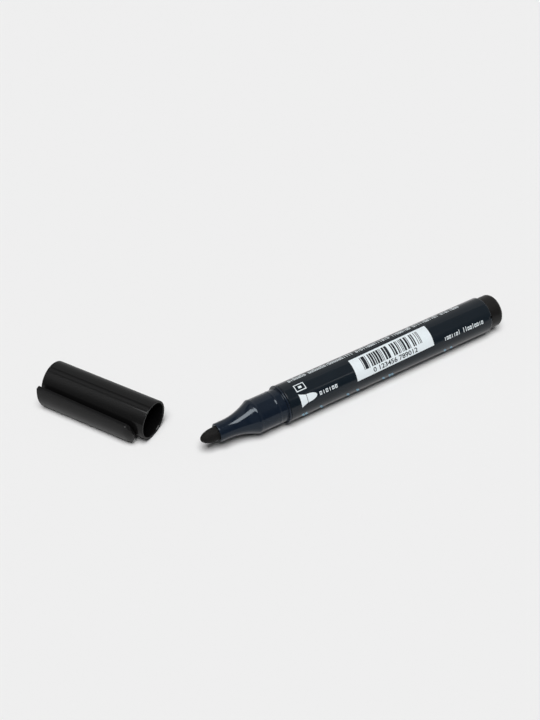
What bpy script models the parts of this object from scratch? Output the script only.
"""Bullet-tip permanent marker, lying on a table with its cap taken off beside it.

The marker lies along X with its nib towards -X. The cap lies at an angle next to the nose, rolled
until its clip touches the table. Both axes are level, and the table is the plane Z = 0.
"""

import math

import bmesh
import bpy
from mathutils import Matrix, Vector

MM = 0.001

# Gaps between pieces
PRESS_GAP = 0.2 * MM
SEAT_GAP = 0.2 * MM
END_GAP = 0.3 * MM

# Barrel
BARREL_DIAMETER = 13.35 * MM
BARREL_WALL = 1.0 * MM
BARREL_LENGTH = 86.6 * MM
BARREL_FRONT_RADIUS = 0.2 * MM
BARREL_TAIL_LAND = 0.25 * MM
NOTCH_WIDTH = 0.8 * MM
NOTCH_LENGTH = 0.9 * MM
NOTCH_ANGLE = math.radians(60)

# Nib: a felt rod with a rounded point
NIB_DIAMETER = 4.7 * MM
NIB_POINT_LENGTH = 5.0 * MM
NIB_SHOWN = 6.1 * MM
NIB_IN_RESERVOIR = 6.0 * MM
NIB_REAR_CHAMFER = 0.5 * MM

# Front section, from its front rim back to the spigot inside the barrel
NOSE_WALL = 0.72 * MM
NOSE_TUBE_LENGTH = 2.9 * MM
NOSE_RIM_RADIUS = 0.35 * MM
FLARE_LENGTH = 11.2 * MM
SHOULDER_RADIUS = 1.6 * MM
SEAT_LENGTH = 10.0 * MM
LIP_HEIGHT = 0.1 * MM
LIP_WIDTH = 0.9 * MM
BEAD_HEIGHT = 0.16 * MM
BEAD_WIDTH = 1.6 * MM
BEAD_TO_COLLAR = 1.5 * MM
COLLAR_PROUD = 0.18 * MM
COLLAR_WIDTH = 1.4 * MM
COLLAR_EDGE_RADIUS = 0.3 * MM
SPIGOT_LENGTH = 6.0 * MM
SPIGOT_WALL = 1.1 * MM
SPIGOT_CHAMFER = 0.4 * MM
FIN_COUNT = 6
FIN_THICKNESS = 0.9 * MM
FIN_SET_BACK = 2.0 * MM

# Ink reservoir and the film round it
FILM_THICKNESS = 0.25 * MM
FILM_TO_BARREL = 0.25 * MM

# End plug
PLUG_STEP_IN = 0.65 * MM
PLUG_SHOWN = 4.8 * MM
PLUG_EDGE_RADIUS = 1.5 * MM
PLUG_SPIGOT_LENGTH = 10.0 * MM
PLUG_WALL = 1.2 * MM
PLUG_FLOOR = 1.6 * MM
PLUG_CHAMFER = 0.5 * MM

# Cap, which fits over the seat and meets the collar
CAP_WALL = 0.7 * MM
CAP_FIT = 0.18 * MM
CAP_END_WALL = 1.3 * MM
CAP_END_RADIUS = 0.6 * MM
CAP_LIP_RADIUS = 0.25 * MM
RIDGE_HEIGHT = 0.12 * MM
RIDGE_DEPTH = 0.35 * MM
RIDGE_RAMP = 0.4 * MM

# Inner cap, which closes round the nose and leaves room ahead of the nib
LINER_FIT = 0.15 * MM
LINER_WALL = 0.7 * MM
LINER_LAP = 1.1 * MM
LINER_FLOOR = 0.9 * MM
LINER_FLANGE = 1.4 * MM
LINER_LEAD_IN = 0.35 * MM
ROOM_AHEAD_OF_NIB = 8.4 * MM

# Pocket clip, domed across its width, with its sides square to the cap
CLIP_STANDOFF = 1.37 * MM
CLIP_EDGE_GAP = 1.97 * MM
CLIP_THICKNESS = 1.31 * MM
CLIP_ROOT_WIDTH = 10.68 * MM
CLIP_NARROWING = 1.7 * MM
CLIP_INSET = 0.45 * MM
CLIP_TIP_DEPTH = 1.75 * MM
CLIP_TONGUE_LENGTH = 2.6 * MM
CLIP_CORNER_RADIUS = 0.4 * MM
CLIP_FOOT_LENGTH = 4.5 * MM
CLIP_FOOT_WIDTH = 4.4 * MM
CLIP_FOOT_INSET = 0.3 * MM

# Where the cap lies: its mouth from the nib's point, and the turn of its axis
CAP_MOUTH_AHEAD = 8.7 * MM
CAP_MOUTH_ASIDE = 16.3 * MM
CAP_TURN = math.radians(118.9)

# How finely the curves are divided
OUTER_FACETS = 48
INNER_FACETS = 32
EDGE_STEPS = 3
ROUND_STEPS = 5
BEAD_STEPS = 6
POINT_STEPS = 8
FLARE_STEPS = 9
POCKET_STEPS = 4
CLIP_COLUMNS = 10
TONGUE_STEPS = 8
CORNER_STEPS = 3
SMOOTH_ANGLE = math.radians(35)
MERGE_DISTANCE = 0.0001 * MM

# Radii that the pieces share
barrel_radius = BARREL_DIAMETER / 2
barrel_bore = barrel_radius - BARREL_WALL
barrel_tail_round = BARREL_WALL - BARREL_TAIL_LAND
spigot_radius = barrel_bore - PRESS_GAP
plug_radius = barrel_radius - PLUG_STEP_IN
nib_radius = NIB_DIAMETER / 2
nib_bore = nib_radius + PRESS_GAP
tip_radius = nib_bore + NOSE_WALL
collar_radius = barrel_radius + COLLAR_PROUD
cap_radius = collar_radius
cap_bore = cap_radius - CAP_WALL
seat_radius = cap_bore - CAP_FIT

# Places along the marker, counted from the nib's point
nose_front = NIB_SHOWN
flare_start = nose_front + NOSE_TUBE_LENGTH
lip_place = flare_start + FLARE_LENGTH
collar_front = lip_place + SEAT_LENGTH
collar_rear = collar_front + COLLAR_WIDTH
spigot_end = collar_rear + SPIGOT_LENGTH
barrel_front = collar_rear + SEAT_GAP
barrel_tail = barrel_front + BARREL_LENGTH
plug_shoulder = barrel_tail + SEAT_GAP
plug_end = plug_shoulder + PLUG_SHOWN
plug_spigot_front = plug_shoulder - PLUG_SPIGOT_LENGTH
reservoir_front = spigot_end + END_GAP
reservoir_rear = plug_spigot_front - END_GAP
nib_rear = reservoir_front + NIB_IN_RESERVOIR

# Depths in the cap, counted from its mouth, which meets the collar when the cap is on
liner_mouth = collar_front - flare_start - LINER_LAP
liner_floor = collar_front + ROOM_AHEAD_OF_NIB
liner_base = liner_floor + LINER_FLOOR
cap_floor = liner_base + SEAT_GAP
cap_length = cap_floor + CAP_END_WALL
clip_root = cap_length - CLIP_INSET
clip_tongue_start = CLIP_TIP_DEPTH + CLIP_TONGUE_LENGTH
foot_rear = clip_root - CLIP_FOOT_INSET
foot_front = foot_rear - CLIP_FOOT_LENGTH

# The clip's outer face is an arc across its width, from its crest down to its edges
clip_half_root = CLIP_ROOT_WIDTH / 2
clip_crest = cap_radius + CLIP_STANDOFF + CLIP_THICKNESS
clip_edge = math.sqrt((cap_radius + CLIP_EDGE_GAP) ** 2 - clip_half_root ** 2) + CLIP_THICKNESS
clip_crown = clip_crest - clip_edge
clip_arc_radius = (clip_half_root ** 2 + clip_crown ** 2) / (2 * clip_crown)


def clear_scene():
    for old in list(bpy.data.objects):
        bpy.data.objects.remove(old, do_unlink=True)


def plastic(name, colour, roughness):
    """A Principled material with one colour and one roughness."""
    material = bpy.data.materials.new(name)
    material.use_nodes = True
    shader = material.node_tree.nodes["Principled BSDF"]
    shader.inputs["Base Color"].default_value = (*colour, 1.0)
    shader.inputs["Roughness"].default_value = roughness
    shader.inputs["Metallic"].default_value = 0.0
    return material


def arc(centre_x, centre_r, radius, start, stop, steps):
    """Points of a profile's round, with angles in degrees counted from +X towards larger radii."""
    points = []
    for step in range(steps + 1):
        angle = math.radians(start + (stop - start) * step / steps)
        points.append((centre_x + radius * math.cos(angle), centre_r + radius * math.sin(angle)))
    return points


def swell(start_x, width, base_r, height):
    """Points of a low rounded bead that rises from base_r and falls back to it."""
    points = []
    for step in range(BEAD_STEPS + 1):
        share = step / BEAD_STEPS
        points.append((start_x + width * share, base_r + height * math.sin(math.pi * share) ** 2))
    return points


def empty(name, parent=None):
    guide = bpy.data.objects.new(name, None)
    bpy.context.scene.collection.objects.link(guide)
    guide.parent = parent
    return guide


def add_object(name, builder, parent, material=None):
    """Links a bmesh as one named object under its guide, shaded smooth between sharp edges."""
    mesh = bpy.data.meshes.new(name)
    builder.to_mesh(mesh)
    builder.free()
    mesh.shade_smooth()
    mesh.set_sharp_from_angle(angle=SMOOTH_ANGLE)
    piece = bpy.data.objects.new(name, mesh)
    bpy.context.scene.collection.objects.link(piece)
    piece.parent = parent
    if material is not None:
        mesh.materials.append(material)
    return piece


def turned(name, profile, facets, parent, material):
    """Spins a closed profile of (x, radius) points round the X axis."""
    builder = bmesh.new()
    rim = [builder.verts.new((x, 0.0, radius)) for x, radius in profile]
    edges = []
    for start, end in zip(rim, rim[1:] + rim[:1]):
        on_axis = start.co.z == 0.0 and end.co.z == 0.0
        if not on_axis:
            edges.append(builder.edges.new((start, end)))
    bmesh.ops.spin(builder, geom=rim + edges, cent=(0, 0, 0), axis=(1, 0, 0),
                   angle=2 * math.pi, steps=facets, use_merge=True)
    bmesh.ops.remove_doubles(builder, verts=builder.verts, dist=MERGE_DISTANCE)
    bmesh.ops.recalc_face_normals(builder, faces=builder.faces)
    return add_object(name, builder, parent, material)


def prism(builder, outline, low_x, high_x):
    """Adds a closed prism along X: outline points (y, z) joined between two X planes."""
    low = [builder.verts.new((low_x, y, z)) for y, z in outline]
    high = [builder.verts.new((high_x, y, z)) for y, z in outline]
    builder.faces.new(low)
    builder.faces.new(list(reversed(high)))
    count = len(outline)
    for index in range(count):
        following = (index + 1) % count
        builder.faces.new((low[index], high[index], high[following], low[following]))


def cutter(name, builder, parent):
    bmesh.ops.recalc_face_normals(builder, faces=builder.faces)
    tool = add_object(name, builder, parent)
    tool.hide_render = True
    tool.display_type = 'WIRE'
    return tool


def combine(piece, tool, operation):
    modifier = piece.modifiers.new(operation.title(), 'BOOLEAN')
    modifier.operation = operation
    modifier.solver = 'EXACT'
    modifier.object = tool


def make_nib(parent, material):
    point = []
    for step in range(POINT_STEPS + 1):
        angle = math.pi / 2 * step / POINT_STEPS
        x = NIB_POINT_LENGTH * (1 - math.cos(angle))
        point.append((x, nib_radius * math.sin(angle)))
    rear = [(nib_rear - NIB_REAR_CHAMFER, nib_radius),
            (nib_rear, nib_radius - NIB_REAR_CHAMFER),
            (nib_rear, 0.0)]
    return turned("nib", point + rear, INNER_FACETS, parent, material)


def flare_profile():
    """A concave arc off the nose tube that meets the shoulder's round without a kink."""
    lip_radius = seat_radius + LIP_HEIGHT
    rise = lip_radius - tip_radius
    slope = 2 * math.atan2(rise, FLARE_LENGTH)
    hollow = FLARE_LENGTH / math.sin(slope) - SHOULDER_RADIUS
    degrees = math.degrees(slope)
    concave = arc(flare_start, tip_radius + hollow, hollow, -90, -90 + degrees, FLARE_STEPS)
    shoulder = arc(lip_place, lip_radius - SHOULDER_RADIUS, SHOULDER_RADIUS, 90 + degrees, 90, EDGE_STEPS)
    return concave + shoulder[1:]


def make_front_section(parent, material):
    rim = arc(nose_front + NOSE_RIM_RADIUS, tip_radius - NOSE_RIM_RADIUS, NOSE_RIM_RADIUS,
              180, 90, EDGE_STEPS)
    lip = swell(lip_place - LIP_WIDTH, 2 * LIP_WIDTH, seat_radius, LIP_HEIGHT)
    lip_fall = [point for point in lip if point[0] > lip_place + MERGE_DISTANCE]
    bead = swell(collar_front - BEAD_TO_COLLAR - BEAD_WIDTH, BEAD_WIDTH, seat_radius, BEAD_HEIGHT)
    edge = COLLAR_EDGE_RADIUS
    collar = [(collar_front, seat_radius)]
    collar += arc(collar_front + edge, collar_radius - edge, edge, 180, 90, EDGE_STEPS)
    collar += arc(collar_rear - edge, collar_radius - edge, edge, 90, 0, EDGE_STEPS)
    spigot = [(collar_rear, spigot_radius),
              (spigot_end - SPIGOT_CHAMFER, spigot_radius),
              (spigot_end, spigot_radius - SPIGOT_CHAMFER)]
    bore = [(spigot_end, nib_bore), (nose_front, nib_bore)]
    profile = rim + flare_profile() + lip_fall + bead + collar + spigot + bore
    section = turned("front_section", profile, OUTER_FACETS, parent, material)

    # Six fins hold the nib, and the pockets between them let air past it
    pocket_radius = spigot_radius - SPIGOT_WALL
    half_sector = math.pi / FIN_COUNT
    apex = FIN_THICKNESS / 2 / math.sin(half_sector)
    side_turn = half_sector - math.asin(FIN_THICKNESS / 2 / pocket_radius)
    pockets = bmesh.new()
    for index in range(FIN_COUNT):
        middle = 2 * half_sector * index
        outline = [(apex * math.sin(middle), apex * math.cos(middle))]
        for step in range(POCKET_STEPS + 1):
            angle = middle + side_turn * (2 * step / POCKET_STEPS - 1)
            outline.append((pocket_radius * math.sin(angle), pocket_radius * math.cos(angle)))
        prism(pockets, outline, lip_place + FIN_SET_BACK, spigot_end + SPIGOT_CHAMFER)
    combine(section, cutter("air_pockets", pockets, parent), 'DIFFERENCE')
    return section


def make_barrel(parent, material):
    front = arc(barrel_front + BARREL_FRONT_RADIUS, barrel_radius - BARREL_FRONT_RADIUS,
                BARREL_FRONT_RADIUS, 180, 90, EDGE_STEPS)
    tail = arc(barrel_tail - barrel_tail_round, barrel_radius - barrel_tail_round,
               barrel_tail_round, 90, 0, ROUND_STEPS)
    bore = [(barrel_tail, barrel_bore), (barrel_front, barrel_bore)]
    barrel = turned("barrel", front + tail + bore, OUTER_FACETS, parent, material)

    # The small notch that the mould's gate leaves in the tail rim
    gate = bmesh.new()
    half = NOTCH_WIDTH / 2
    floor = barrel_bore + BARREL_TAIL_LAND
    clear = barrel_radius + NOTCH_WIDTH
    outline = [(-half, floor), (half, floor), (half, clear), (-half, clear)]
    prism(gate, outline, barrel_tail - NOTCH_LENGTH, barrel_tail + NOTCH_LENGTH)
    bmesh.ops.rotate(gate, verts=gate.verts, cent=(0, 0, 0), matrix=Matrix.Rotation(NOTCH_ANGLE, 3, 'X'))
    combine(barrel, cutter("gate_notch", gate, parent), 'DIFFERENCE')
    return barrel


def make_reservoir(parent, rod_material, film_material):
    film_outer = barrel_bore - FILM_TO_BARREL
    film_inner = film_outer - FILM_THICKNESS
    rod_radius = film_inner - PRESS_GAP
    socket_end = nib_rear + END_GAP
    rod = [(reservoir_rear, 0.0), (reservoir_rear, rod_radius), (reservoir_front, rod_radius),
           (reservoir_front, nib_bore), (socket_end, nib_bore), (socket_end, 0.0)]
    film = [(reservoir_front, film_inner), (reservoir_front, film_outer),
            (reservoir_rear, film_outer), (reservoir_rear, film_inner)]
    turned("ink_reservoir", rod, INNER_FACETS, parent, rod_material)
    turned("reservoir_sleeve", film, INNER_FACETS, parent, film_material)


def make_end_plug(parent, material):
    edge = PLUG_EDGE_RADIUS
    plug_bore = spigot_radius - PLUG_WALL
    outside = [(plug_end, 0.0)]
    outside += arc(plug_end - edge, plug_radius - edge, edge, 0, 90, ROUND_STEPS)
    outside += [(plug_shoulder, plug_radius),
                (plug_shoulder, spigot_radius),
                (plug_spigot_front + PLUG_CHAMFER, spigot_radius),
                (plug_spigot_front, spigot_radius - PLUG_CHAMFER)]
    inside = [(plug_spigot_front, plug_bore),
              (plug_end - PLUG_FLOOR, plug_bore),
              (plug_end - PLUG_FLOOR, 0.0)]
    return turned("end_plug", outside + inside, OUTER_FACETS, parent, material)


def make_cap_shell(parent, material):
    end = CAP_END_RADIUS
    lip = CAP_LIP_RADIUS
    outside = [(cap_length, 0.0)]
    outside += arc(cap_length - end, cap_radius - end, end, 0, 90, EDGE_STEPS)
    outside += arc(lip, cap_radius - lip, lip, 90, 180, EDGE_STEPS)

    # The ridge in the mouth snaps into the space between the bead and the collar
    ridge_radius = cap_bore - RIDGE_HEIGHT
    inside = [(0.0, cap_bore),
              (RIDGE_DEPTH, ridge_radius),
              (BEAD_TO_COLLAR, ridge_radius),
              (BEAD_TO_COLLAR + RIDGE_RAMP, cap_bore),
              (cap_floor, cap_bore),
              (cap_floor, 0.0)]
    return turned("cap_shell", outside + inside, OUTER_FACETS, parent, material)


def make_inner_cap(parent, material):
    bore = tip_radius + LINER_FIT
    outer = bore + LINER_WALL
    flange_front = liner_base - LINER_FLANGE
    flange_radius = cap_bore - PRESS_GAP
    profile = [(liner_base, 0.0), (liner_base, flange_radius), (flange_front, flange_radius),
               (flange_front, outer), (liner_mouth, outer),
               (liner_mouth, bore + LINER_LEAD_IN), (liner_mouth + LINER_LEAD_IN, bore),
               (liner_floor, bore), (liner_floor, 0.0)]
    return turned("inner_cap", profile, INNER_FACETS, parent, material)


def clip_height(across):
    """How far the clip's outer face stands from the cap's axis, at a distance across the clip."""
    return clip_crest - clip_arc_radius + math.sqrt(clip_arc_radius ** 2 - across ** 2)


def clip_half_width(depth):
    """Half the clip's width: straight and tapering, with a round tongue and rounded root corners."""
    straight = clip_root - clip_tongue_start
    narrowing = CLIP_NARROWING / 2 * (clip_root - max(depth, clip_tongue_start)) / straight
    half = clip_half_root - narrowing
    if depth < clip_tongue_start:
        reach = (clip_tongue_start - depth) / CLIP_TONGUE_LENGTH
        half *= math.sqrt(1 - reach ** 2)
    into_corner = depth - (clip_root - CLIP_CORNER_RADIUS)
    if into_corner > 0:
        half -= CLIP_CORNER_RADIUS - math.sqrt(max(CLIP_CORNER_RADIUS ** 2 - into_corner ** 2, 0.0))
    return half


def clip_stations():
    """Depths of the clip's cross-sections, close together at its round ends."""
    depths = []
    for step in range(1, TONGUE_STEPS + 1):
        angle = math.pi / 2 * step / TONGUE_STEPS
        depths.append(clip_tongue_start - CLIP_TONGUE_LENGTH * math.cos(angle))
    corner_start = clip_root - CLIP_CORNER_RADIUS
    depths.append((clip_tongue_start + corner_start) / 2)
    for step in range(CORNER_STEPS + 1):
        angle = math.pi / 2 * step / CORNER_STEPS
        depths.append(corner_start + CLIP_CORNER_RADIUS * math.sin(angle))
    return depths


def make_pocket_clip(parent, hinge_place, material):
    """Lofts the outer face across its stations, thickens it towards the cap and joins the foot to it."""
    builder = bmesh.new()
    rows = []
    for depth in clip_stations():
        half = clip_half_width(depth)
        row = []
        for column in range(CLIP_COLUMNS + 1):
            across = half * (2 * column / CLIP_COLUMNS - 1)
            place = Vector((depth, across, clip_height(across))) - hinge_place
            row.append(builder.verts.new(place))
        rows.append(row)
    for row, following in zip(rows, rows[1:]):
        for column in range(CLIP_COLUMNS):
            builder.faces.new((row[column], following[column], following[column + 1], row[column + 1]))
    bmesh.ops.recalc_face_normals(builder, faces=builder.faces)
    inner = bmesh.ops.extrude_face_region(builder, geom=list(builder.faces), use_keep_orig=True)
    moved = [item for item in inner["geom"] if isinstance(item, bmesh.types.BMVert)]
    bmesh.ops.translate(builder, verts=moved, vec=(0, 0, -CLIP_THICKNESS))
    bmesh.ops.recalc_face_normals(builder, faces=builder.faces)
    clip = add_object("pocket_clip", builder, parent, material)

    # The foot reaches from inside the clip down to the cap's wall and follows both curves
    foot = bmesh.new()
    under = cap_radius + SEAT_GAP
    widths = [CLIP_FOOT_WIDTH * (step / POCKET_STEPS - 0.5) for step in range(POCKET_STEPS + 1)]
    outline = [(across, math.sqrt(under ** 2 - across ** 2)) for across in widths]
    outline += [(across, clip_height(across) - CLIP_THICKNESS / 2) for across in reversed(widths)]
    prism(foot, outline, foot_front, foot_rear)
    bmesh.ops.translate(foot, verts=foot.verts, vec=-hinge_place)
    combine(clip, cutter("clip_foot", foot, parent), 'UNION')
    return clip


def resting_roll():
    """The roll at which the clip's wide end touches the table beside the cap."""
    height = clip_height(clip_half_root)
    reach = math.hypot(clip_half_root, height)
    return math.acos(-cap_radius / reach) - math.atan2(clip_half_root, height)


def centre_on_table(root):
    """Moves the whole set until the middle of its bounding box stands over the origin."""
    bpy.context.view_layer.update()
    graph = bpy.context.evaluated_depsgraph_get()
    corners = []
    for piece in bpy.context.scene.objects:
        if piece.type == 'MESH' and not piece.hide_render:
            shaped = piece.evaluated_get(graph)
            corners += [shaped.matrix_world @ vert.co for vert in shaped.data.vertices]
    middle_x = (min(c.x for c in corners) + max(c.x for c in corners)) / 2
    middle_y = (min(c.y for c in corners) + max(c.y for c in corners)) / 2
    root.location = (-middle_x, -middle_y, 0.0)
    bpy.context.view_layer.update()


def main():
    clear_scene()
    navy_gloss = plastic("navy_gloss", (0.012, 0.019, 0.036), 0.18)
    navy_print = plastic("navy_print", (0.012, 0.015, 0.024), 0.28)
    black_cap = plastic("black_cap", (0.010, 0.010, 0.011), 0.3)
    black_felt = plastic("black_felt", (0.012, 0.012, 0.013), 0.9)
    black_seal = plastic("black_seal", (0.008, 0.008, 0.009), 0.45)
    ink_fibre = plastic("ink_fibre", (0.02, 0.02, 0.022), 0.95)
    clear_film = plastic("clear_film", (0.55, 0.56, 0.58), 0.35)

    root = empty("table_place")
    marker = empty("marker_axis", root)
    marker.location = (0.0, 0.0, collar_radius)
    cap = empty("cap_axis", root)
    cap.location = (-CAP_MOUTH_AHEAD, CAP_MOUTH_ASIDE, cap_radius)
    cap.rotation_euler = (-resting_roll(), 0.0, CAP_TURN)
    hinge = empty("clip_hinge", cap)
    hinge.location = ((foot_front + foot_rear) / 2, 0.0, cap_radius + CLIP_STANDOFF / 2)

    make_nib(marker, black_felt)
    make_front_section(marker, navy_gloss)
    make_barrel(marker, navy_print)
    make_reservoir(marker, ink_fibre, clear_film)
    make_end_plug(marker, black_cap)
    make_cap_shell(cap, black_cap)
    make_inner_cap(cap, black_seal)
    make_pocket_clip(hinge, Vector(hinge.location), black_cap)
    centre_on_table(root)

    print("cap roll in degrees", round(math.degrees(resting_roll()), 2))
    for guide in (marker, cap, hinge):
        place = guide.matrix_world
        print(guide.name, [round(value, 6) for value in place.translation],
              "X", [round(value, 5) for value in place.col[0][:3]],
              "Y", [round(value, 5) for value in place.col[1][:3]])


main()
